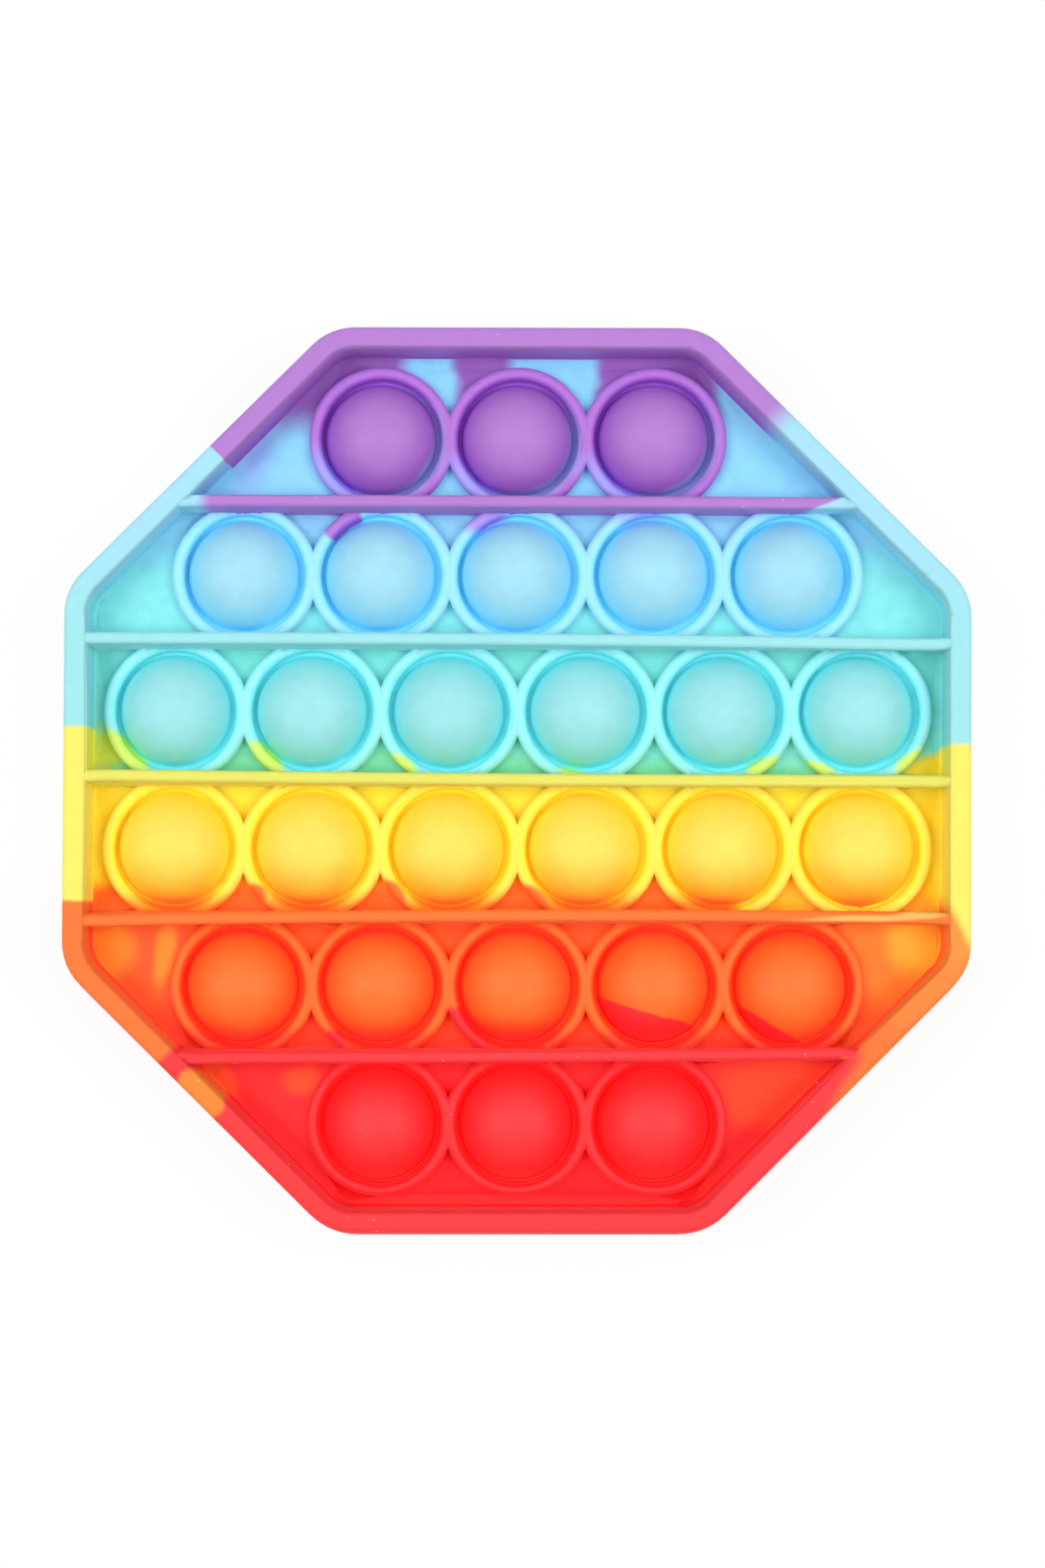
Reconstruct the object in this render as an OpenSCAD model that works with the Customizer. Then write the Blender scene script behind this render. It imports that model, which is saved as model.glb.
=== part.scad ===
// Bubble pop fidget toy: an octagonal board of popping bubbles, moulded in one piece of silicone.
// The board lies flat: its lower rim land is at z = 0 and the domes stand up towards +Z.
// The purple row is at +Y and the red row at -Y. Both faces have the same ribs and collars.

/* [Bubble] */
// Bubbles in each row, from the +Y row to the -Y row
bubbles_per_row = [3, 5, 6, 6, 5, 3]; // [1:1:6]
// Radius of a dome where it rises out of its groove
dome_r = 7.6; // [6:0.1:9]
// Wall of a dome
dome_wall = 0.9; // [0.6:0.05:1.5]
// How far the tops of the domes lie below the rim's crown
dome_drop = 0.55; // [0:0.05:1.5]
// Skin that a dome hinges on, at the bottom of its groove
hinge_t = 0.7; // [0.5:0.05:1.2]
// Rounding round the mouth of the hollow under a dome
mouth_r = 0.3; // [0.1:0.05:0.4]

/* [Collar] */
// Width of the groove between a dome and its collar
groove_w = 0.7; // [0.4:0.05:1.2]
// Width of a collar
collar_w = 1.7; // [1:0.1:2.4]
// Height of a collar over the web, on each face
collar_h = 1.8; // [1.2:0.1:2.6]
// How far neighbouring collars run into each other
collar_overlap = 1.2; // [0.6:0.1:1.4]
// Fillet between a collar and the hinge skin, on the hollow side
collar_foot_r = 0.4; // [0.1:0.05:0.5]

/* [Rim] */
// Thickness of the whole board
thickness = 15; // [13:0.5:18]
// Wall of the rim at the parting line
rim_w = 3.9; // [3.4:0.1:5]
// Radius of the octagon's outer corners
corner_r = 9; // [7:0.5:14]
// Clear web between the outermost collars and the rim
rim_gap = 1.6; // [0.5:0.1:6]
// Draft of the rim's outer faces, in degrees
outer_draft = 4; // [1:0.5:5]
// Draft of the rim's inner faces, in degrees
inner_draft = 0.5; // [0:0.5:1.5]
// Rounding of the crown's outer edge
crown_outer_r = 0.9; // [0.4:0.1:1]
// Rounding of the crown's inner edge
crown_inner_r = 0.55; // [0.2:0.05:0.6]
// Width of the small ledge inside the crown
ledge_w = 0.2; // [0.1:0.05:0.4]
// Depth of that ledge below the crown
ledge_drop = 0.65; // [0.65:0.05:1.2]
// Fillet between the rim and the web
rim_foot_r = 0.6; // [0.2:0.1:1]
// How far the parting line's bead stands out
bead_h = 0.3; // [0.1:0.05:0.5]

/* [Web and ribs] */
// Thickness of the web between the bubbles
web_t = 1.8; // [1.2:0.1:2.6]
// Width of a rib at its top
rib_w = 1.6; // [1:0.1:2.2]
// How far a rib's top lies below the rim's crown
rib_drop = 0.2; // [0.1:0.1:2]
// Draft of a rib's sides, in degrees
rib_draft = 1; // [0:0.5:2]
// Rounding of a rib's edges, as a share of half its top width
rib_roundness = 0.75; // [0.3:0.05:0.9]

/* [Hidden] */
$fn = 48;
sides = 8;
turn = 360 / sides;
// How far cutting shapes reach past what they cut
margin = 1;

purple = "#a95fd0";
blue = "#86cdfb";
teal = "#86e3e2";
yellow = "#ffe14a";
orange = "#ff7c35";
red = "#ff3b42";
row_colours = [purple, blue, teal, yellow, orange, red];
rib_colours = [purple, teal, yellow, orange, red];

mid = thickness / 2;
n_rows = len(bubbles_per_row);
groove_r = groove_w / 2;
collar_in_r = dome_r + groove_w;
collar_out_r = collar_in_r + collar_w;
collar_mid_r = (collar_in_r + collar_out_r) / 2;
pitch = 2 * collar_out_r - collar_overlap;

// The board's half width follows from the longest line of bubbles, across or along
longest = max(concat(bubbles_per_row, [n_rows]));
inner_apothem = (longest - 1) / 2 * pitch + collar_out_r + rim_gap;
apothem = inner_apothem + rim_w;
corner_centre = apothem - corner_r;
side_length = 2 * corner_centre * tan(turn / 2);

// How pieces of the moulding reach into each other: fillets and web by length, corners by angle
fillet_lap = 0.1;
web_lap = 0.2;
corner_lap = 0.1;
// How much slimmer the rim's corners are than its sides, and its stub of web than the web
corner_skin = 0.01;
stub_skin = 0.01;
// Web that belongs to the rim's section, just past its fillet
web_stub = rim_foot_r + 0.4;

// Levels of the bubble's section
hinge_low = mid - hinge_t / 2;
groove_z = mid + hinge_t / 2 + groove_r;
dome_top = thickness - dome_drop;
dome_h = dome_top - groove_z;
ball_r = (dome_r * dome_r + dome_h * dome_h) / (2 * dome_h);
ball_z = dome_top - ball_r;
hollow_r = ball_r - dome_wall;
mouth_in_r = sqrt(hollow_r * hollow_r - pow(hinge_low - ball_z, 2));

places = [for (row = [0 : n_rows - 1]) for (column = [0 : bubbles_per_row[row] - 1]) [row, column]];

function row_y(row) = ((n_rows - 1) / 2 - row) * pitch;
function bubble_x(row, column) = (column - (bubbles_per_row[row] - 1) / 2) * pitch;
function rib_y(k) = (row_y(k) + row_y(k + 1)) / 2;
function nearest_row(y) = max(0, min(n_rows - 1, floor((row_y(0) + pitch / 2 - y) / pitch)));
function unit(v) = v / norm(v);

// What a corner b between a and c gains or loses to an arc of radius r, reaching past the corner by tip
module corner_piece(a, b, c, r, tip) {
    u = unit(a - b);
    v = unit(c - b);
    half = acos(u * v) / 2;
    reach = r / tan(half);
    centre = b + unit(u + v) * r / sin(half);
    difference() {
        polygon([b + u * reach, b - unit(u + v) * tip, b + v * reach, centre]);
        translate(centre) circle(r);
    }
}

// A counterclockwise polygon with true arcs at its corners: positive radii round, negative ones fillet
module arced_polygon(points, radii) {
    n = len(points);
    function before(i) = points[(i + n - 1) % n];
    function after(i) = points[(i + 1) % n];
    difference() {
        union() {
            polygon(points);
            for (i = [0 : n - 1])
                if (radii[i] < 0) corner_piece(after(i), points[i], before(i), -radii[i], fillet_lap);
        }
        for (i = [0 : n - 1])
            if (radii[i] > 0) corner_piece(before(i), points[i], after(i), radii[i], radii[i]);
    }
}

// Follows a list that ends on the mid-plane with its mirror image, back along the upper half
function both_halves(lower) =
    concat(lower, [for (i = [len(lower) - 2 : -1 : 0]) [lower[i].x, thickness - lower[i].y]]);
function there_and_back(list) = concat(list, [for (i = [len(list) - 2 : -1 : 0]) list[i]]);

// The rim's section less a skin, with x measured from the corner's centre and a stub of web inside it
module rim_section(skin = 0) {
    web_low = mid - web_t / 2 + stub_skin + skin;
    ledge_z = ledge_drop + skin;
    wall_in = corner_r - rim_w + skin;
    wall_in_low = wall_in + tan(inner_draft) * (web_low - ledge_z);
    wall_out = corner_r - bead_h - skin;
    wall_out_low = wall_out - tan(outer_draft) * mid;
    lower = [
        [corner_r - rim_w - web_stub, web_low],
        [wall_in, web_low],
        [wall_in_low, ledge_z],
        [wall_in_low + ledge_w, ledge_z],
        [wall_in_low + ledge_w, skin],
        [wall_out_low, skin],
        [wall_out, mid],
    ];
    radii = [0, -rim_foot_r, 0, 0, crown_inner_r, crown_outer_r, 0];
    arced_polygon(both_halves(lower), there_and_back(radii));
    translate([wall_out, mid]) circle(bead_h - skin);
}

// The octagonal rim: its section run along each side and turned round each corner
module rim() {
    for (k = [0 : sides - 1])
        color(row_colours[nearest_row(apothem * sin(k * turn))])
            rotate(k * turn)
                translate([corner_centre, 0, 0])
                    rotate([90, 0, 0])
                        linear_extrude(height = side_length, center = true) rim_section();
    for (k = [0 : sides - 1])
        color(row_colours[nearest_row(apothem * sin((k + 0.5) * turn))])
            rotate(k * turn)
                translate([corner_centre, side_length / 2, 0])
                    rotate(-corner_lap)
                        rotate_extrude(angle = turn + 2 * corner_lap) rim_section(corner_skin);
}

// A sharp octagon whose edges lie in from the board's own
module inside_rim(depth) {
    reach = (apothem - depth) / cos(turn / 2);
    polygon([for (k = [0 : sides - 1]) reach * [cos((k + 0.5) * turn), sin((k + 0.5) * turn)]]);
}

// The dividing rib's section, with its own draft above and below the mid-plane
module rib_section() {
    top = thickness - rib_drop;
    half_top = rib_w / 2;
    half_mid = half_top + tan(rib_draft) * (top - mid);
    edge_r = rib_roundness * half_top;
    points = [
        [half_mid, mid],
        [half_top, top],
        [-half_top, top],
        [-half_mid, mid],
        [-half_top, rib_drop],
        [half_top, rib_drop],
    ];
    arced_polygon(points, [0, edge_r, edge_r, 0, edge_r, edge_r]);
}

// A straight rib between two rows, ending inside the rim's wall
module rib(k) {
    color(rib_colours[k % len(rib_colours)])
        intersection() {
            translate([-apothem, rib_y(k), 0])
                rotate([90, 0, 90])
                    linear_extrude(height = 2 * apothem) rib_section();
            linear_extrude(height = thickness) inside_rim(rim_w / 2);
        }
}

// Half the section through a bubble: the collar, the hinge skin and the dome over its hollow
module bubble_section() {
    collar_reach = web_t / 2 + collar_h - collar_w / 2;
    groove_mid = dome_r + groove_r;
    mouth = [mouth_in_r, hinge_low];
    foot = [collar_in_r, hinge_low];
    translate([collar_mid_r, mid]) {
        square([collar_w, 2 * collar_reach], center = true);
        for (s = [-1, 1]) translate([0, s * collar_reach]) circle(collar_w / 2);
    }
    difference() {
        translate(mouth) square([collar_mid_r - mouth_in_r, groove_z - hinge_low]);
        translate([groove_mid, groove_z]) circle(groove_r);
        translate([0, ball_z]) circle(hollow_r);
        corner_piece([mouth_in_r, groove_z], mouth, foot, mouth_r, mouth_r);
    }
    corner_piece([collar_in_r, 0], foot, mouth, collar_foot_r, fillet_lap);
    difference() {
        intersection() {
            translate([0, ball_z]) circle(ball_r);
            translate([0, groove_z]) square([ball_r + margin, ball_r + margin]);
        }
        translate([0, ball_z]) circle(hollow_r);
    }
}

// One bubble, cut off square where its collar meets a neighbour's or runs into a rib
module bubble(row, column) {
    free = collar_out_r + margin;
    left = column == 0 ? free : pitch / 2;
    right = column == bubbles_per_row[row] - 1 ? free : pitch / 2;
    up = row == 0 ? free : pitch / 2;
    down = row == n_rows - 1 ? free : pitch / 2;
    color(row_colours[row % len(row_colours)])
        translate([bubble_x(row, column), row_y(row), 0])
            intersection() {
                rotate(turn) rotate_extrude() bubble_section();
                translate([-left, -down, 0]) cube([left + right, down + up, thickness]);
            }
}

// A row's own strip of web, open under its bubbles
module web_strip(row) {
    up = row == 0 ? apothem : pitch / 2;
    down = row == n_rows - 1 ? apothem : pitch / 2;
    color(row_colours[row % len(row_colours)])
        translate([0, 0, mid - web_t / 2])
            linear_extrude(height = web_t)
                difference() {
                    intersection() {
                        inside_rim(rim_w + web_stub - web_lap);
                        translate([-apothem, row_y(row) - down]) square([2 * apothem, up + down]);
                    }
                    for (column = [0 : bubbles_per_row[row] - 1])
                        translate([bubble_x(row, column), row_y(row)]) circle(collar_mid_r);
                }
}

// The whole moulding: all that the rim holds is joined first, and then the rim
module bubble_board() {
    rim();
    union() {
        for (row = [0 : n_rows - 1]) web_strip(row);
        for (place = places) bubble(place[0], place[1]);
        for (k = [0 : n_rows - 2]) rib(k);
    }
}

bubble_board();
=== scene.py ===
import math
import random

import bmesh
import bpy
from mathutils import Matrix, Vector, noise


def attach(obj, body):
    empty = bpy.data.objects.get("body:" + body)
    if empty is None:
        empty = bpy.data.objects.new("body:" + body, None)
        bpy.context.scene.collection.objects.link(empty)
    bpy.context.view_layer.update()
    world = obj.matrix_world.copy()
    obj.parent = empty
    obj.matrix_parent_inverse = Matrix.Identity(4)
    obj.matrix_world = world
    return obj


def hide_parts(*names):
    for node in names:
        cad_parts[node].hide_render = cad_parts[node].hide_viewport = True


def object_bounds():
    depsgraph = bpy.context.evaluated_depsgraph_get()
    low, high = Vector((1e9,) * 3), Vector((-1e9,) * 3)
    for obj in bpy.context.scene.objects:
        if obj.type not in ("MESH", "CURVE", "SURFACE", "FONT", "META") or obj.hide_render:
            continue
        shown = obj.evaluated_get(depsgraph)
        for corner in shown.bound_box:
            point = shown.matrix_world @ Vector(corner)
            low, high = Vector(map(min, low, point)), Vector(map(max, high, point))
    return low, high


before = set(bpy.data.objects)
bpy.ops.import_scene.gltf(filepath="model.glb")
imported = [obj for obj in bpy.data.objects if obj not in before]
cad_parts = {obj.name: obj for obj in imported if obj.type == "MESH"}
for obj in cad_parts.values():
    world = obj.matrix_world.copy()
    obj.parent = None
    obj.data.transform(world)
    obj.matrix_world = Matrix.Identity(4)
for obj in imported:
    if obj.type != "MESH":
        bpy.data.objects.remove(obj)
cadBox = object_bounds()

# One moulded silicone board with popping bubbles, lying flat and seen from above.
# Sizes below are millimetres in the board's own frame; mm turns them into metres.
mm = 0.001

lattice = {
    "rows": [3, 5, 6, 6, 5, 3],  # bubbles in each row, from +Y down to -Y
    "pitch": 18.8,
    "domeRadius": 7.6,
    "collarInner": 8.3,
    "collarOuter": 10.0,
    "ribHalf": 0.93,
    "webHalf": 0.9,
}
touching = 0.02  # how far off two faces may be and still count as one
rimSize = {
    "across": (cadBox[1].x - cadBox[0].x) / mm,
    "thick": (cadBox[1].z - cadBox[0].z) / mm,
    "wall": 3.9,
    "foot": 0.3,  # how much of the fillet at its foot takes the rim's colour
    "cornerRadius": 9.0,
}
midHeight = rimSize["thick"] / 2
cornerCentre = rimSize["across"] / 2 - rimSize["cornerRadius"]
halfSide = cornerCentre * math.tan(math.pi / 8)
innerWall = rimSize["across"] / 2 - rimSize["wall"]


def rowY(row):
    return ((len(lattice["rows"]) - 1) / 2 - row) * lattice["pitch"]


ribLines = [rowY(k) - lattice["pitch"] / 2 for k in range(len(lattice["rows"]) - 1)]


def smooth(low, high, value):
    # 0 below low, 1 above high, and an even S between them
    t = max(0.0, min(1.0, (value - low) / (high - low)))
    return t * t * (3 - 2 * t)


def rimDistance(x, y):
    # distance from the centre, square to the octagon's nearest side or round its corner
    turns = round(math.atan2(y, x) / (math.pi / 4)) * math.pi / 4
    out = x * math.cos(turns) + y * math.sin(turns)
    along = abs(y * math.cos(turns) - x * math.sin(turns)) - halfSide
    if along > 0:
        return cornerCentre + math.hypot(out - cornerCentre, along)
    return out


def nearestBubble(x, y):
    # row, column and centre of the bubble whose strip of the board the point lies in
    last = len(lattice["rows"]) - 1
    row = max(0, min(last, round(last / 2 - y / lattice["pitch"])))
    count = lattice["rows"][row]
    column = max(0, min(count - 1, round(x / lattice["pitch"] + (count - 1) / 2)))
    return row, column, (column - (count - 1) / 2) * lattice["pitch"], rowY(row)


def nearestRib(y):
    return min(range(len(ribLines)), key=lambda k: abs(ribLines[k] - y))


# The board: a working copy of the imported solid, thinned, then given the small unevenness of soft rubber

skin = {
    "weld": 0.00005,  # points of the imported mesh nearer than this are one
    "mostTriangles": 150000,  # what the copy is thinned to
    "ribStep": 2.5,  # spacing of the cuts that let a rib bend
    "ribSpare": 0.05,  # how far beyond its sides a rib is cut
    "ribPaths": [  # how far each rib's edge stands off its line: in all, at its +X end, in its middle
        (0.20, -0.20, 0.05),
        (0.12, -0.38, 0.10),
        (0.0, -0.34, -0.06),
        (0.05, 0.26, 0.18),
        (0.03, 0.46, -0.05),
    ],
    "ribSides": (1.0, 1.7),  # a rib's move fades out between these distances from its line
    "ribHeights": (1.0, 6.5),  # and grows between these heights off the middle
    "ribEnds": (-1.0, 2.5),  # and fades out between these distances past the rim's inner wall
    "domeShift": (-0.15, 0.10),
    "domeChance": 0.07,
    "domeSeed": 7,
    "domeEdges": (0.1, -0.05),  # the move fades from outside the dome to inside the collar
    "outlineSway": 0.14,
    "outlineSwaySize": 34,
    "outlineSwayDepth": 6,  # how far inside the rim's wall the sway begins
    "outlineSwayLayers": (11.0, 57.0),  # layers of the noise for the sway along X and Y
    "shortEdge": 0.3,  # the -Y side came out of the mould a little short
    "shortEdgeFrom": (53, 61),
    "sharpAngle": 38,  # degrees between faces that keep a crisp edge
}
forms = ["rim", "rib", "collar", "dome", "web"]


def formAt(x, y, z):
    if rimDistance(x, y) > innerWall - rimSize["foot"]:
        return "rim"
    offWeb = abs(z - midHeight) > lattice["webHalf"] + touching
    if offWeb and abs(ribLines[nearestRib(y)] - y) < lattice["ribHalf"]:
        return "rib"
    _, _, centreX, centreY = nearestBubble(x, y)
    radius = math.hypot(x - centreX, y - centreY)
    if radius < (lattice["domeRadius"] + lattice["collarInner"]) / 2:
        return "dome"
    reach = (lattice["collarOuter"] if offWeb else lattice["collarInner"]) + touching
    if radius < reach:
        return "collar"
    return "web"


def cutRibs(work):
    # cross cuts along each rib, so that it can lean and wave like the real one
    half = lattice["ribHalf"] + skin["ribSpare"]
    cuts = int(2 * innerWall / skin["ribStep"]) + 1
    for line in ribLines:
        near = [face for face in work.faces if all(abs(v.co.y / mm - line) < half for v in face.verts)]
        for i in range(cuts):
            x = (-innerWall + i * skin["ribStep"]) * mm
            geometry = near + list({edge for face in near for edge in face.edges})
            geometry += list({vertex for face in near for vertex in face.verts})
            result = bmesh.ops.bisect_plane(work, geom=geometry, plane_co=(x, 0, 0), plane_no=(1, 0, 0))
            near = [item for item in result["geom"] if isinstance(item, bmesh.types.BMFace)]


def unevenness(x, y, z, shifts):
    # ribs lean and bow at their free edges, domes sit a little off centre, the outline sways
    out = rimDistance(x, y)
    k = nearestRib(y)
    share = x / innerWall
    whole, end, middle = skin["ribPaths"][k]
    ribMove = 1 - smooth(*skin["ribSides"], abs(ribLines[k] - y))
    ribMove *= smooth(*skin["ribHeights"], abs(z - midHeight))
    ribMove *= 1 - smooth(*skin["ribEnds"], out - innerWall)
    moveY = ribMove * (whole + end * share + middle * (1 - 3 * share * share))
    row, column, centreX, centreY = nearestBubble(x, y)
    radius = math.hypot(x - centreX, y - centreY)
    outside, inside = skin["domeEdges"]
    domeMove = 1 - smooth(lattice["domeRadius"] + outside, lattice["collarInner"] + inside, radius)
    moveX = shifts[row][column][0] * domeMove
    moveY += shifts[row][column][1] * domeMove
    bend = skin["outlineSway"] * smooth(innerWall - skin["outlineSwayDepth"], innerWall, out) * 2
    layerX, layerY = skin["outlineSwayLayers"]
    moveX += bend * noise.noise(Vector((x, y, layerX)) / skin["outlineSwaySize"])
    moveY += bend * noise.noise(Vector((x, y, layerY)) / skin["outlineSwaySize"])
    moveY += skin["shortEdge"] * smooth(*skin["shortEdgeFrom"], -y)
    return moveX, moveY


def makeBoard(source):
    mesh = source.data.copy()
    mesh.name = "poppingBoard"
    board = bpy.data.objects.new("poppingBoard", mesh)
    bpy.context.scene.collection.objects.link(board)
    work = bmesh.new()
    work.from_mesh(mesh)
    bmesh.ops.remove_doubles(work, verts=work.verts, dist=skin["weld"] * mm)
    work.to_mesh(mesh)
    work.free()
    share = skin["mostTriangles"] / len(mesh.polygons)
    if share < 1:
        thin = board.modifiers.new("thin", "DECIMATE")
        thin.ratio = share
        evaluated = board.evaluated_get(bpy.context.evaluated_depsgraph_get())
        thinned = bpy.data.meshes.new_from_object(evaluated)
        board.modifiers.clear()
        board.data = thinned
        mesh = thinned
    mesh.materials.clear()
    work = bmesh.new()
    work.from_mesh(mesh)
    cutRibs(work)
    bmesh.ops.triangulate(work, faces=[face for face in work.faces if len(face.verts) > 4])
    chance = random.Random(skin["domeSeed"])
    shifts = [
        [
            [middle + chance.uniform(-1, 1) * skin["domeChance"] for middle in skin["domeShift"]]
            for column in range(count)
        ]
        for count in lattice["rows"]
    ]
    for face in work.faces:
        centre = face.calc_center_median() / mm
        face.material_index = forms.index(formAt(*centre))
        face.smooth = True
    for vertex in work.verts:
        moveX, moveY = unevenness(*(vertex.co / mm), shifts)
        vertex.co.x += moveX * mm
        vertex.co.y += moveY * mm
    work.to_mesh(mesh)
    work.free()
    mesh.set_sharp_from_angle(angle=math.radians(skin["sharpAngle"]))
    shading = board.modifiers.new("evenShading", "WEIGHTED_NORMAL")
    shading.keep_sharp = True
    return board


# Node and colour helpers


def linear(hexColour):
    # sRGB hex to the linear values that the shader works in
    channels = [int(hexColour[i:i + 2], 16) / 255 for i in (1, 3, 5)]
    return [c / 12.92 if c <= 0.04045 else ((c + 0.055) / 1.055) ** 2.4 for c in channels] + [1.0]


def addNode(tree, kind, settings=None, links=None):
    # a setting is a property of the node or the value of an input, a link feeds an input from a socket
    node = tree.nodes.new(kind)
    for name, value in (settings or {}).items():
        if isinstance(name, str) and hasattr(node, name):
            setattr(node, name, value)
        else:
            node.inputs[name].default_value = value
    for name, socket in (links or {}).items():
        tree.links.new(socket, node.inputs[name])
    return node


mixedFirst, mixedSecond, mixedResult = 6, 7, 2  # the colour sockets of a Mix node
noiseSpread = (0.3, 0.7)  # what a noise texture mostly stays between

silicone = {
    "ior": 1.41,
    "roughness": (0.50, 0.64),  # moulded against a fine spark-eroded steel
    "grain": 0.22,  # mm between grains of that surface, drawn coarser than it is
    "grainDepth": 0.012,
    "unevenSize": 5.0,  # mm between the shallow hollows of the cured rubber
    "unevenDepth": 0.010,
    "mottleSize": 2.2,  # mm between flecks where the pigment mixed badly
    "flowSize": 9.0,  # mm between the bends where two colours met
    "recessShadeHeights": (7.1, 1.0),  # heights off the middle where the painted shade of a recess begins and where it is deepest
    "recessShadeGain": 0.2,  # painted light: how much the colour is brightened again in the recesses, under their painted shade
    # painted light: how much the colour is brightened again in the hinge groove, under its painted shade
    "grooveGain": 0.28,
    "grooveInside": (-0.6, 0.0),  # the painted shade of the groove comes in between these, from the dome's edge
    "grooveOutside": (0.6, 0.1),  # and goes out between these, from the collar's inner edge
    "lintColour": "#F2E6EE",
    "lintSpacing": 1.5,  # mm between specks of dust, which cling to the rubber
    "lintSize": 0.09,  # drawn larger than it is
    "lintBlur": 0.3,
    "lintPatch": 9.0,  # mm between the patches that hold more of it
    "lintPatchEdge": (0.5, 0.62),
    "lintEnds": (30, 38),  # it thickens between these distances from the board's middle
    "sheen": 0.06,
    "scatter": 0.35,
    "scatterLength": 1.2,
    "scatterByChannel": (1.0, 0.8, 0.8),
}

purple = "#B07ACB"
violet = "#A6A2E2"
blue = "#A0D8EB"
teal = "#9ADDE1"
green = "#92D5BA"
lime = "#CBDE7C"
yellow = "#F4DC5A"
lemon = "#F0E362"
gold = "#F6C636"
amber = "#F48E22"
orange = "#F47428"
redOrange = "#F44A26"
red = "#F43036"

# Each colour was poured over the one before. A cut is a straight front: its facing in degrees,
# its distance from the board's centre along that facing, and how softly the colours blend there.
# A spot is an ellipse: centre x and y, half its length and width, its turn, and its softness.
# It reaches through the whole thickness.

endless = 1000
down = -90
left = (180, 0, 0.2)
right = (0, 0, 0.2)
firstRow = [(column - 1) * lattice["pitch"] for column in range(3)]

rimPours = {
    "flow": 0.6,  # mm that the fronts wander by
    "mottle": 0.02,  # how much lighter and darker the flecks are
    "lint": 0.8,  # how well the specks of dust cover the colour
    "recessShade": 0.5,  # painted shade: how much deeper the colour is made at the bottom of the recesses
    "base": purple,
    "pours": [
        {"colour": blue, "cuts": [(225, -2.4, 0.3), left]},
        {"colour": blue, "cuts": [(-45, -9.5, 5.0), right]},
        {"colour": teal, "cuts": [(down, -27, 16)]},
        {"colour": lemon, "cuts": [(down, -7.2, 0.5), left]},
        {"colour": lemon, "cuts": [(down, -4.8, 1.0), right]},
        {"colour": orange, "cuts": [(down, 16.6, 0.7), left]},
        {"colour": "#EE9034", "cuts": [(207.7, -44.0, 1.6), (down, 15, 1), right]},
        {"colour": "#F08430", "cuts": [(down, 25, 4), right]},
        {"colour": orange, "cuts": [(down, 33, 6), right]},
        {"colour": red, "cuts": [(-45, -6.9, 1.0), (down, 30, 2), left]},
        {"colour": "#EC8628", "spot": (-42.6, -42.7, 3.6, 2.6, -45, 0.7)},
        {"colour": red, "cuts": [(149.5, -59.2, 2.0), (down, 37, 3), right]},
        {"colour": red, "cuts": [(down, 50, 2)]},
    ],
}
ribPours = {
    "flow": 0.5,
    "mottle": 0.02,
    "lint": 0.8,
    "recessShade": 0.3,
    "base": purple,
    "pours": [
        {"colour": blue, "cuts": [(180, 43.0, 2.6)]},
        {"colour": blue, "cuts": [(-68.7, -19.7, 0.5), (0, 38, 1)]},
        {"colour": teal, "cuts": [(down, -28, 1)]},
        {"colour": "#E0DC60", "cuts": [(down, -9.4, 1)]},
        {"colour": orange, "cuts": [(down, 9.4, 1)]},
        {"colour": "#EBB75A", "spot": (47.0, -18.9, 7.5, 0.4, 1, 0.5)},
        {"colour": "#EBB75A", "spot": (55.5, -18.3, 4.0, 0.6, 4, 0.6)},
        {"colour": red, "cuts": [(down, 28, 1)]},
    ],
}
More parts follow.
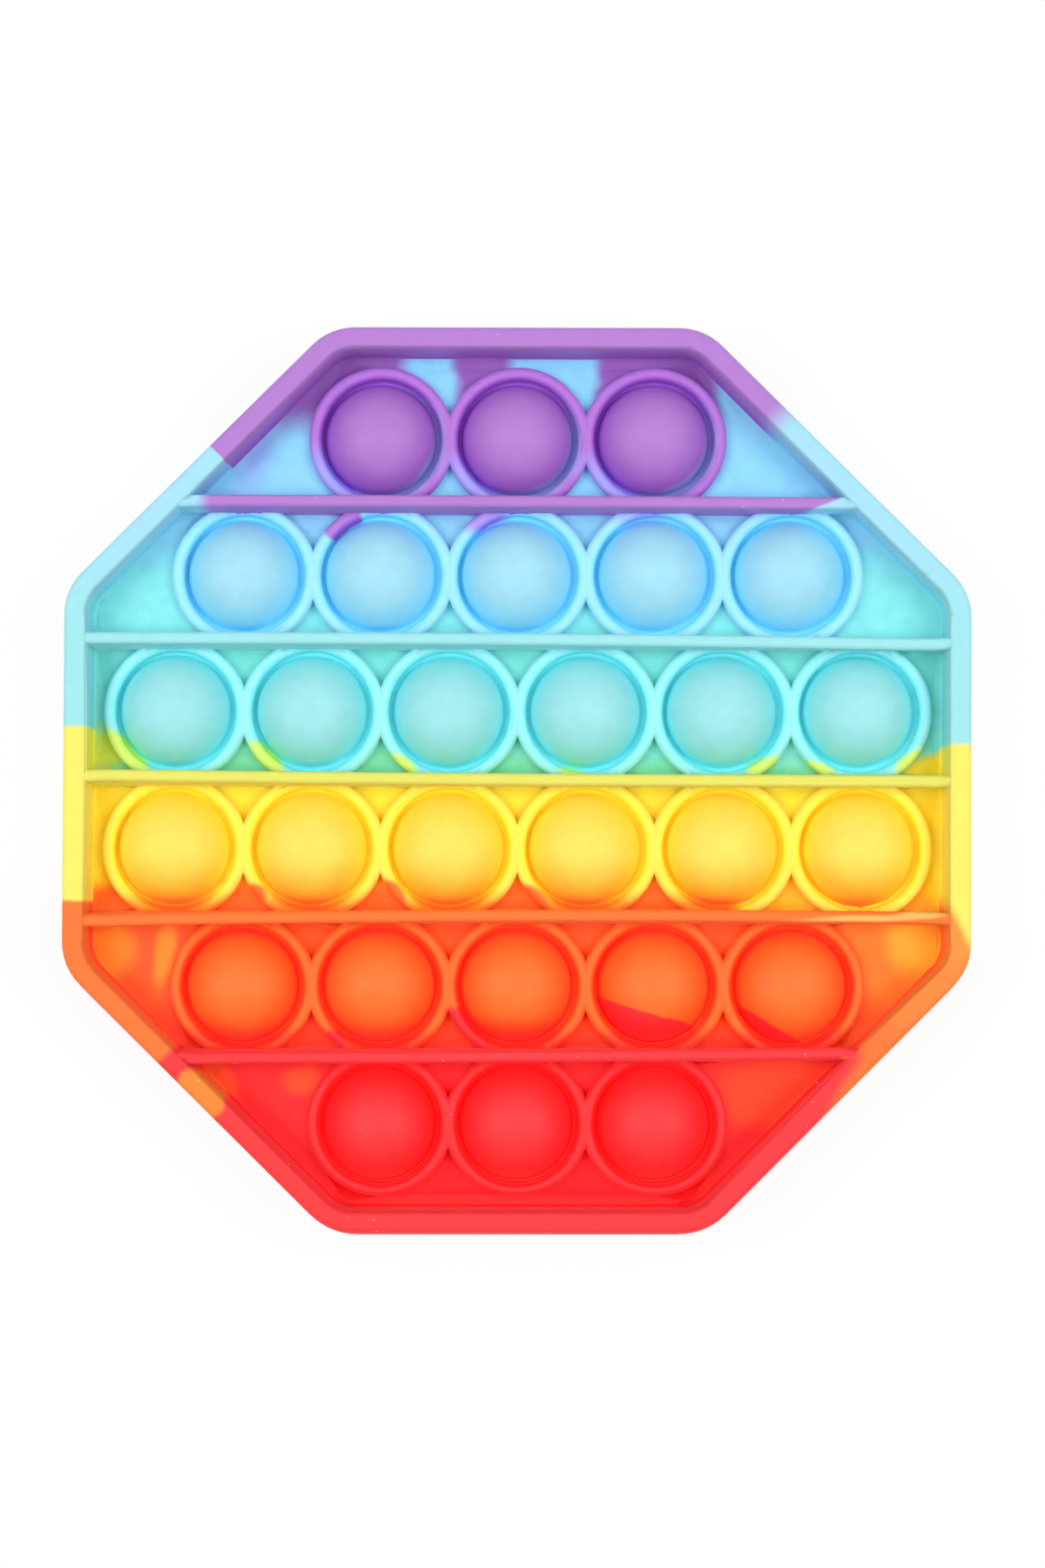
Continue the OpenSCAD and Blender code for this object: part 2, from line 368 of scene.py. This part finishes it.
collarPours = {
    "flow": 0.7,
    "mottle": 0.02,
    "lint": 0.4,
    "recessShade": 0.2,
    "groove": 0.45,  # painted shade: how much deeper the colour is made in the hinge groove
    "base": purple,
    "pours": [
        *({"colour": "#A3A6CF", "spot": (x + 0.25, 46.8, 8.45, 8.45, 0, 0.5)} for x in firstRow),
        *({"colour": purple, "spot": (x - 0.45, 47.4, 8.55, 8.55, 0, 0.6)} for x in firstRow),
        {"colour": violet, "spot": (-25.5, 41.0, 5.5, 3.0, -45, 3.5)},
        {"colour": violet, "spot": (-6.3, 40.5, 4.5, 2.4, -40, 3.0)},
        {"colour": violet, "spot": (12.5, 40.5, 5.0, 2.6, -40, 3.0)},
        {"colour": blue, "cuts": [(down, -38.1, 0.5)]},
        {"colour": "#B082CC", "spot": (-24.3, 35.3, 2.7, 2.4, 35, 0.6)},
        {"colour": "#B09CDC", "spot": (-4.4, 36.0, 3.0, 1.4, 20, 1.4)},
        {"colour": "#A9C0E8", "spot": (16.6, 36.4, 3.0, 1.0, 0, 1.5)},
        {"colour": teal, "cuts": [(down, -19.3, 0.5)]},
        {"colour": lime, "spot": (-53.6, 3.0, 5.2, 1.8, -50, 0.8)},
        {"colour": lime, "spot": (-34.4, 2.6, 3.3, 1.4, -43, 0.8)},
        {"colour": lime, "spot": (-15.9, 1.9, 2.3, 1.2, -35, 0.8)},
        {"colour": lime, "spot": (7.6, 0.9, 2.0, 0.6, -15, 0.6)},
        {"colour": lime, "spot": (34.0, 1.8, 2.8, 1.1, 25, 0.8)},
        {"colour": lime, "spot": (41.3, 1.6, 2.6, 0.9, -20, 0.8)},
        {"colour": lime, "spot": (54.2, 2.8, 3.0, 1.4, 35, 0.8)},
        {"colour": yellow, "cuts": [(down, -0.4, 0.5)]},
        {"colour": amber, "cuts": [(down, 16.2, 3.0), (180, -30, 3)]},
        {"colour": orange, "spot": (-35.9, -15.7, 1.6, 1.2, -45, 0.9)},
        {"colour": orange, "spot": (-17.0, -15.7, 2.4, 1.5, -45, 0.9)},
        {"colour": orange, "spot": (2.2, -16.4, 2.4, 1.3, -40, 0.9)},
        {"colour": orange, "cuts": [(down, 18.4, 0.5)]},
        {"colour": redOrange, "cuts": [(down, 34.6, 2.5)]},
        {"colour": red, "spot": (-25.0, -35.9, 1.5, 1.5, 0, 0.7)},
        {"colour": red, "spot": (-6.8, -34.4, 4.0, 2.2, -45, 0.8)},
        {"colour": red, "cuts": [(down, 37.2, 0.5)]},
    ],
}
domePours = {
    "flow": 0.8,
    "mottle": 0.03,
    "lint": 0.4,
    "recessShade": 0.35,
    "groove": 0.45,
    "base": "#A3A6CF",
    "pours": [
        *({"colour": purple, "spot": (x - 0.65, 47.55, 7.9, 7.9, 0, 0.6)} for x in firstRow),
        {"colour": blue, "cuts": [(down, -37.6, 0.5)]},
        {"colour": teal, "cuts": [(down, -18.8, 0.5)]},
        {"colour": yellow, "cuts": [(down, 0, 0.5)]},
        {"colour": "#EFC63E", "cuts": [(down, 13.5, 7)]},
        {"colour": amber, "cuts": [(down, 16.8, 2.5)]},
        {"colour": orange, "cuts": [(down, 18.8, 0.5)]},
        {"colour": redOrange, "cuts": [(down, 34.5, 6), (180, 9.4, 0.2)]},
        {"colour": redOrange, "cuts": [(down, 33.5, 4), (180, -9.4, 0.2), (0, -9.4, 0.2)]},
        {"colour": red, "cuts": [(253.7, 25.4, 0.5), (down, 18.8, 0.5), (0, 9.4, 0.2), (180, -28.2, 0.2)]},
        {"colour": red, "cuts": [(237.3, 9.3, 0.5), (down, 18.8, 0.5), (0, 28.2, 0.2)]},
        {"colour": red, "cuts": [(down, 37.6, 0.5)]},
    ],
}
webPours = {
    "flow": 2.2,
    "mottle": 0.05,
    "lint": 0.2,
    "recessShade": 0.5,
    "base": "#A3D7EA",
    "pours": [
        {"colour": "#A97CC0", "cuts": [(90, 50, 5), (180, 15.5, 3)]},
        {"colour": "#A97CC0", "cuts": [(90, 51, 4), (0, -8.4, 2), (180, 0.6, 3)]},
        {"colour": "#A97CC0", "cuts": [(90, 50, 4), (0, 11, 2.5), (180, -27.5, 3)]},
        {"colour": "#A9C2E8", "spot": (-36.0, 45.0, 5.0, 1.6, 70, 3.2)},
        {"colour": "#A2D3E6", "cuts": [(down, -37.6, 0.5)]},
        {"colour": "#9CDDDD", "cuts": [(down, -31, 8)]},
        {"colour": "#95D9D4", "cuts": [(down, -18.8, 0.5)]},
        {"colour": green, "cuts": [(down, -4.5, 4), (180, -14, 20)]},
        {"colour": green, "cuts": [(down, -2.2, 2)]},
        {"colour": "#C9D872", "spot": (-58.0, 5.0, 3.4, 3.0, 0, 2.8)},
        {"colour": "#E8D24A", "spot": (58.0, 1.5, 5.0, 3.0, 0, 1.6)},
        {"colour": "#F0DF58", "cuts": [(down, 0, 0.5)]},
        {"colour": gold, "cuts": [(down, 5.5, 7)]},
        # painted light: these two lighter spots lift the yellow web by the rim's walls, where the walls
        # shade it
        {"colour": "#F8DC50", "spot": (-58.5, -7.0, 3.6, 8.5, 0, 3)},
        {"colour": "#F8DC50", "spot": (58.5, -8.0, 3.2, 9.0, 0, 3)},
        {"colour": "#EE8A30", "cuts": [(down, 14.2, 2.4), (180, -29, 5)]},
        {"colour": "#EE7A2E", "cuts": [(down, 18.8, 0.5)]},
        {"colour": "#F2A634", "spot": (-56.0, -23.0, 3.0, 4.5, 0, 2.5)},
        {"colour": "#F2A634", "spot": (-48.6, -24.0, 1.6, 5.0, -10, 1.6)},
        {"colour": "#F09828", "spot": (52.0, -24.0, 11.0, 8.0, -45, 5)},
        {"colour": "#F8C240", "spot": (56.0, -22.0, 6.5, 4.0, -60, 5)},
        {"colour": "#E85A30", "cuts": [(down, 33.0, 6), (180, -38, 6)]},
        {"colour": "#E8303A", "cuts": [(down, 37.6, 0.5)]},
        {"colour": "#EC6A2A", "spot": (-40.7, -41.6, 3.0, 2.4, -45, 1.8)},
        {"colour": "#EC6A2A", "spot": (-29.4, -41.6, 2.4, 2.0, 0, 1.8)},
        {"colour": "#EC602A", "spot": (36.0, -42.2, 11.5, 4.6, 8, 3.5)},
    ],
}
poursByForm = {"rim": rimPours, "rib": ribPours, "collar": collarPours, "dome": domePours, "web": webPours}


def cutShare(tree, point, cut):
    # 1 beyond the front and 0 before it
    facing, distance, soft = cut
    angle = math.radians(facing)
    along = addNode(
        tree, "ShaderNodeVectorMath",
        {"operation": "DOT_PRODUCT", 1: (math.cos(angle), math.sin(angle), 0)},
        {0: point},
    )
    return addNode(
        tree, "ShaderNodeMapRange",
        {
            "interpolation_type": "SMOOTHSTEP",
            "From Min": distance - soft / 2,
            "From Max": distance + soft / 2,
        },
        {"Value": along.outputs["Value"]},
    ).outputs["Result"]


def spotShare(tree, point, spot):
    # 1 inside the ellipse and 0 outside it
    x, y, length, width, turn, soft = spot
    place = addNode(
        tree, "ShaderNodeMapping",
        {
            "vector_type": "TEXTURE",
            "Location": (x, y, 0),
            "Rotation": (0, 0, math.radians(turn)),
            "Scale": (length, width, endless),
        },
        {"Vector": point},
    )
    reach = addNode(tree, "ShaderNodeVectorMath", {"operation": "LENGTH"}, {0: place.outputs["Vector"]})
    edge = soft / 2 / min(length, width)
    return addNode(
        tree, "ShaderNodeMapRange",
        {"interpolation_type": "SMOOTHSTEP", "From Min": 1 + edge, "From Max": 1 - edge},
        {"Value": reach.outputs["Value"]},
    ).outputs["Result"]


def pourShare(tree, point, pour):
    # a pour covers what lies beyond all its fronts and inside its spot
    shares = [cutShare(tree, point, cut) for cut in pour.get("cuts", [])]
    if "spot" in pour:
        shares.append(spotShare(tree, point, pour["spot"]))
    whole = shares[0]
    for share in shares[1:]:
        both = addNode(tree, "ShaderNodeMath", {"operation": "MULTIPLY"}, {0: whole, 1: share})
        whole = both.outputs["Value"]
    return whole


def pouredColour(tree, point, recipe):
    # lays the pours over each other, with every front bent by the flow of the rubber
    flow = addNode(
        tree, "ShaderNodeTexNoise", {"Scale": 1 / silicone["flowSize"], "Detail": 3.0}, {"Vector": point}
    )
    bend = recipe["flow"] * 2
    centred = addNode(
        tree, "ShaderNodeVectorMath", {"operation": "SUBTRACT", 1: (0.5, 0.5, 0.5)},
        {0: flow.outputs["Color"]},
    )
    bent = addNode(
        tree, "ShaderNodeVectorMath", {"operation": "MULTIPLY_ADD", 1: (bend, bend, 0)},
        {0: centred.outputs["Vector"], 2: point},
    ).outputs["Vector"]
    colour = None
    for pour in recipe["pours"]:
        settings = {"data_type": "RGBA", mixedSecond: linear(pour["colour"])}
        links = {0: pourShare(tree, bent, pour)}
        if colour is None:
            settings[mixedFirst] = linear(recipe["base"])
        else:
            links[mixedFirst] = colour
        colour = addNode(tree, "ShaderNodeMix", settings, links).outputs[mixedResult]
    return colour


def paintedRecessShade(tree, point):
    # painted shade: 0 at the crown and 1 down at the web; the colour is painted deeper towards the bottom
    # of the recesses
    height = addNode(tree, "ShaderNodeSeparateXYZ", {}, {0: point}).outputs["Z"]
    fromMiddle = addNode(tree, "ShaderNodeMath", {"operation": "SUBTRACT", 1: midHeight}, {0: height})
    offMiddle = addNode(tree, "ShaderNodeMath", {"operation": "ABSOLUTE"}, {0: fromMiddle.outputs["Value"]})
    begins, deepest = silicone["recessShadeHeights"]
    return addNode(
        tree, "ShaderNodeMapRange",
        {"interpolation_type": "SMOOTHSTEP", "From Min": begins, "From Max": deepest},
        {"Value": offMiddle.outputs["Value"]},
    ).outputs["Result"]


def grooveShare(tree, point):
    # painted shade: 1 in the hinge groove of the nearest bubble, where the colour is painted deeper; the
    # two middle rows stand half a pitch aside
    pitch = lattice["pitch"]
    place = addNode(tree, "ShaderNodeSeparateXYZ", {}, {0: point})
    off = addNode(tree, "ShaderNodeMath", {"operation": "ABSOLUTE"}, {0: place.outputs["Y"]})
    middle = addNode(
        tree, "ShaderNodeMath", {"operation": "LESS_THAN", 1: pitch}, {0: off.outputs["Value"]}
    )
    aside = addNode(
        tree, "ShaderNodeMath", {"operation": "MULTIPLY_ADD", 1: pitch / 2},
        {0: middle.outputs["Value"], 2: place.outputs["X"]},
    )
    upward = addNode(tree, "ShaderNodeMath", {"operation": "ADD", 1: pitch / 2}, {0: place.outputs["Y"]})
    inBubble = {}
    for axis, shifted in (("X", aside), ("Y", upward)):
        wrapped = addNode(
            tree, "ShaderNodeMath", {"operation": "WRAP", 1: pitch / 2, 2: -pitch / 2},
            {0: shifted.outputs["Value"]},
        )
        inBubble[axis] = wrapped.outputs["Value"]
    offCentre = addNode(tree, "ShaderNodeCombineXYZ", {}, inBubble)
    radius = addNode(
        tree, "ShaderNodeVectorMath", {"operation": "LENGTH"}, {0: offCentre.outputs["Vector"]}
    )
    sides = {}
    for k, (edge, fade) in enumerate((("domeRadius", "grooveInside"), ("collarInner", "grooveOutside"))):
        side = addNode(
            tree, "ShaderNodeMapRange",
            {
                "interpolation_type": "SMOOTHSTEP",
                "From Min": lattice[edge] + silicone[fade][0],
                "From Max": lattice[edge] + silicone[fade][1],
            },
            {"Value": radius.outputs["Value"]},
        )
        sides[k] = side.outputs["Result"]
    return addNode(tree, "ShaderNodeMath", {"operation": "MULTIPLY"}, sides).outputs["Value"]


def lintShare(tree, point, most):
    # pale specks, thickest towards the purple and the red end
    grid = addNode(
        tree, "ShaderNodeTexVoronoi", {"Scale": 1 / silicone["lintSpacing"]}, {"Vector": point}
    )
    edge = silicone["lintSize"] / silicone["lintSpacing"]
    blur = edge * silicone["lintBlur"]
    specks = addNode(
        tree, "ShaderNodeMapRange", {"From Min": edge + blur, "From Max": edge - blur, "To Max": most},
        {"Value": grid.outputs["Distance"]},
    )
    patches = addNode(
        tree, "ShaderNodeTexNoise", {"Scale": 1 / silicone["lintPatch"], "Detail": 3.0}, {"Vector": point}
    )
    bare, dusty = silicone["lintPatchEdge"]
    where = addNode(
        tree, "ShaderNodeMapRange", {"From Min": bare, "From Max": dusty}, {"Value": patches.outputs[0]}
    )
    along = addNode(tree, "ShaderNodeSeparateXYZ", {}, {0: point}).outputs["Y"]
    off = addNode(tree, "ShaderNodeMath", {"operation": "ABSOLUTE"}, {0: along})
    bare, dusty = silicone["lintEnds"]
    ends = addNode(
        tree, "ShaderNodeMapRange", {"From Min": bare, "From Max": dusty}, {"Value": off.outputs["Value"]}
    )
    share = addNode(
        tree, "ShaderNodeMath", {"operation": "MULTIPLY"},
        {0: specks.outputs["Result"], 1: where.outputs["Result"]},
    )
    return addNode(
        tree, "ShaderNodeMath", {"operation": "MULTIPLY"},
        {0: share.outputs["Value"], 1: ends.outputs["Result"]},
    ).outputs["Value"]


def mouldedSilicone(name, recipe):
    # silicone rubber, pressed in a satin steel mould: matt and dense, and it glows a little at its edges
    material = bpy.data.materials.new(name)
    material.use_nodes = True
    tree = material.node_tree
    tree.nodes.clear()
    place = addNode(tree, "ShaderNodeTexCoord")
    point = addNode(
        tree, "ShaderNodeVectorMath", {"operation": "SCALE", "Scale": 1 / mm}, {0: place.outputs["Object"]}
    ).outputs["Vector"]
    colour = pouredColour(tree, point, recipe)
    spread = {"From Min": noiseSpread[0], "From Max": noiseSpread[1]}

    # flecks of pigment, and painted shade: deeper colour in the recesses and grooves, with some painted
    # light lifting it again
    mottle = addNode(
        tree, "ShaderNodeTexNoise", {"Scale": 1 / silicone["mottleSize"], "Detail": 4.0}, {"Vector": point}
    )
    mottleAndShade = addNode(
        tree, "ShaderNodeMapRange",
        {**spread, "To Min": 1 - recipe["mottle"], "To Max": 1 + recipe["mottle"]},
        {"Value": mottle.outputs[0]},
    )
    recessShadeShare = paintedRecessShade(tree, point)
    shadeGamma = addNode(
        tree, "ShaderNodeMath", {"operation": "MULTIPLY_ADD", 1: recipe["recessShade"], 2: 1.0}, {0: recessShadeShare}
    )
    shadeGain = addNode(
        tree, "ShaderNodeMath", {"operation": "MULTIPLY_ADD", 1: silicone["recessShadeGain"], 2: 1.0},
        {0: recessShadeShare},
    )
    if "groove" in recipe:
        groove = grooveShare(tree, point)
        shadeGamma = addNode(
            tree, "ShaderNodeMath", {"operation": "MULTIPLY_ADD", 1: recipe["groove"]},
            {0: groove, 2: shadeGamma.outputs["Value"]},
        )
        shadeGain = addNode(
            tree, "ShaderNodeMath", {"operation": "MULTIPLY_ADD", 1: silicone["grooveGain"]},
            {0: groove, 2: shadeGain.outputs["Value"]},
        )
    mottleAndShade = addNode(
        tree, "ShaderNodeMath", {"operation": "MULTIPLY"},
        {0: mottleAndShade.outputs["Result"], 1: shadeGain.outputs["Value"]},
    )
    colour = addNode(
        tree, "ShaderNodeGamma", {}, {"Color": colour, "Gamma": shadeGamma.outputs["Value"]}
    ).outputs["Color"]
    colour = addNode(
        tree, "ShaderNodeHueSaturation", {}, {"Color": colour, "Value": mottleAndShade.outputs["Value"]}
    ).outputs["Color"]
    colour = addNode(
        tree, "ShaderNodeMix", {"data_type": "RGBA", mixedSecond: linear(silicone["lintColour"])},
        {0: lintShare(tree, point, recipe["lint"]), mixedFirst: colour},
    ).outputs[mixedResult]

    # the mould's fine grain, and shallow hollows under it
    grain = addNode(
        tree, "ShaderNodeTexNoise", {"Scale": 1 / silicone["grain"], "Detail": 2.0}, {"Vector": point}
    )
    roughness = addNode(
        tree, "ShaderNodeMapRange",
        {**spread, "To Min": silicone["roughness"][0], "To Max": silicone["roughness"][1]},
        {"Value": grain.outputs[0]},
    )
    uneven = addNode(
        tree, "ShaderNodeTexNoise", {"Scale": 1 / silicone["unevenSize"], "Detail": 1.0}, {"Vector": point}
    )
    hollows = addNode(
        tree, "ShaderNodeBump", {"Strength": 1.0, "Distance": silicone["unevenDepth"] * mm},
        {"Height": uneven.outputs[0]},
    )
    surface = addNode(
        tree, "ShaderNodeBump", {"Strength": 1.0, "Distance": silicone["grainDepth"] * mm},
        {"Height": grain.outputs[0], "Normal": hollows.outputs["Normal"]},
    )
    shader = addNode(
        tree, "ShaderNodeBsdfPrincipled",
        {
            "IOR": silicone["ior"],
            "Sheen Weight": silicone["sheen"],
            "Subsurface Weight": silicone["scatter"],
            "Subsurface Scale": silicone["scatterLength"] * mm,
            "Subsurface Radius": silicone["scatterByChannel"],
        },
        {
            "Base Color": colour,
            "Roughness": roughness.outputs["Result"],
            "Normal": surface.outputs["Normal"],
        },
    )
    addNode(tree, "ShaderNodeOutputMaterial", {}, {"Surface": shader.outputs["BSDF"]})
    return material


board = makeBoard(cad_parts["bubble_board"])
for form in forms:
    board.data.materials.append(mouldedSilicone("mouldedSilicone" + form.capitalize(), poursByForm[form]))
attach(board, "root")
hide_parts("bubble_board")
print("board:", len(board.data.polygons), "faces,", len(board.data.vertices), "points")

# Floor: white paper, which the camera sees as white with a trace of the board's shadow

paper = {"size": 3.0, "gap": 0.05, "colour": "#F4F4F4", "shadowShare": 0.10}


def makeFloor():
    half = paper["size"] / 2
    height = -paper["gap"] * mm
    mesh = bpy.data.meshes.new("paperFloor")
    corners = [(-half, -half), (half, -half), (half, half), (-half, half)]
    mesh.from_pydata([(x, y, height) for x, y in corners], [], [(0, 1, 2, 3)])
    floor = bpy.data.objects.new("paperFloor", mesh)
    bpy.context.scene.collection.objects.link(floor)
    material = bpy.data.materials.new("whitePaper")
    material.use_nodes = True
    tree = material.node_tree
    tree.nodes.clear()
    matt = addNode(tree, "ShaderNodeBsdfDiffuse", {"Color": linear(paper["colour"])})
    white = addNode(tree, "ShaderNodeEmission", {"Color": (1, 1, 1, 1), "Strength": 1.0})
    rays = addNode(tree, "ShaderNodeLightPath")
    share = addNode(
        tree, "ShaderNodeMath", {"operation": "MULTIPLY", 1: 1 - paper["shadowShare"]},
        {0: rays.outputs["Is Camera Ray"]},
    )
    mixed = addNode(
        tree, "ShaderNodeMixShader", {},
        {0: share.outputs["Value"], 1: matt.outputs["BSDF"], 2: white.outputs[0]},
    )
    addNode(tree, "ShaderNodeOutputMaterial", {}, {"Surface": mixed.outputs[0]})
    mesh.materials.append(material)


makeFloor()
print("floor: white paper")

# Light: one broad softbox overhead and one at each side

softboxes = {
    "overhead": {"at": (0.0, 0.15, 1.1), "size": (0.9, 0.9), "watts": 2.5},
    "left": {"at": (-0.72, 0.0, 1.0), "size": (0.6, 0.6), "watts": 6.3},
    "right": {"at": (0.72, 0.0, 1.0), "size": (0.6, 0.6), "watts": 6.3},
}
room = {"ambient": 0.40}


def makeSoftbox(name, box):
    lamp = bpy.data.lights.new(name, "AREA")
    lamp.shape = "RECTANGLE"
    lamp.size, lamp.size_y = box["size"]
    lamp.energy = box["watts"]
    light = bpy.data.objects.new(name, lamp)
    light.location = box["at"]
    light.rotation_euler = (-Vector(box["at"])).to_track_quat("-Z", "Y").to_euler()
    light.visible_camera = False
    bpy.context.scene.collection.objects.link(light)


for name, box in softboxes.items():
    makeSoftbox(name + "Softbox", box)


def lightRoom():
    world = bpy.data.worlds.new("whiteRoom")
    world.use_nodes = True
    tree = world.node_tree
    tree.nodes.clear()
    ambient = addNode(tree, "ShaderNodeBackground", {"Color": (1, 1, 1, 1), "Strength": room["ambient"]})
    backdrop = addNode(tree, "ShaderNodeBackground", {"Color": (1, 1, 1, 1), "Strength": 1.0})
    rays = addNode(tree, "ShaderNodeLightPath")
    mixed = addNode(
        tree, "ShaderNodeMixShader", {},
        {0: rays.outputs["Is Camera Ray"], 1: ambient.outputs[0], 2: backdrop.outputs[0]},
    )
    addNode(tree, "ShaderNodeOutputWorld", {}, {"Surface": mixed.outputs[0]})
    bpy.context.scene.world = world


lightRoom()
bpy.context.scene.view_settings.view_transform = "Standard"
print("light:", len(softboxes), "softboxes")

# Camera: over the board and a little towards its red edge, as the photograph was taken

shot = {
    "height": 448.0,  # above the board's middle
    "footX": 1.5,  # the point straight below the camera
    "footY": -19.4,
    "aimX": 0.7,
    "aimY": -0.42,
    "lens": 74.63,
    "sensor": 36.0,
    "nearest": 0.01,  # metres
    "roll": 0.09,  # degrees
}


def placeCamera():
    camera = bpy.data.objects.new("photoCamera", bpy.data.cameras.new("photoCamera"))
    bpy.context.scene.collection.objects.link(camera)
    camera.location = Vector((shot["footX"], shot["footY"], midHeight + shot["height"])) * mm
    aim = Vector((shot["aimX"], shot["aimY"], midHeight)) * mm
    back = (camera.location - aim).normalized()
    across = Vector((0, 1, 0)).cross(back).normalized()
    upright = Matrix((across, back.cross(across), back)).transposed()
    camera.rotation_euler = (upright @ Matrix.Rotation(math.radians(shot["roll"]), 3, "Z")).to_euler()
    camera.data.sensor_width = shot["sensor"]
    camera.data.lens = shot["lens"]
    camera.data.clip_start = shot["nearest"]
    bpy.context.scene.camera = camera


placeCamera()
print("camera: placed")
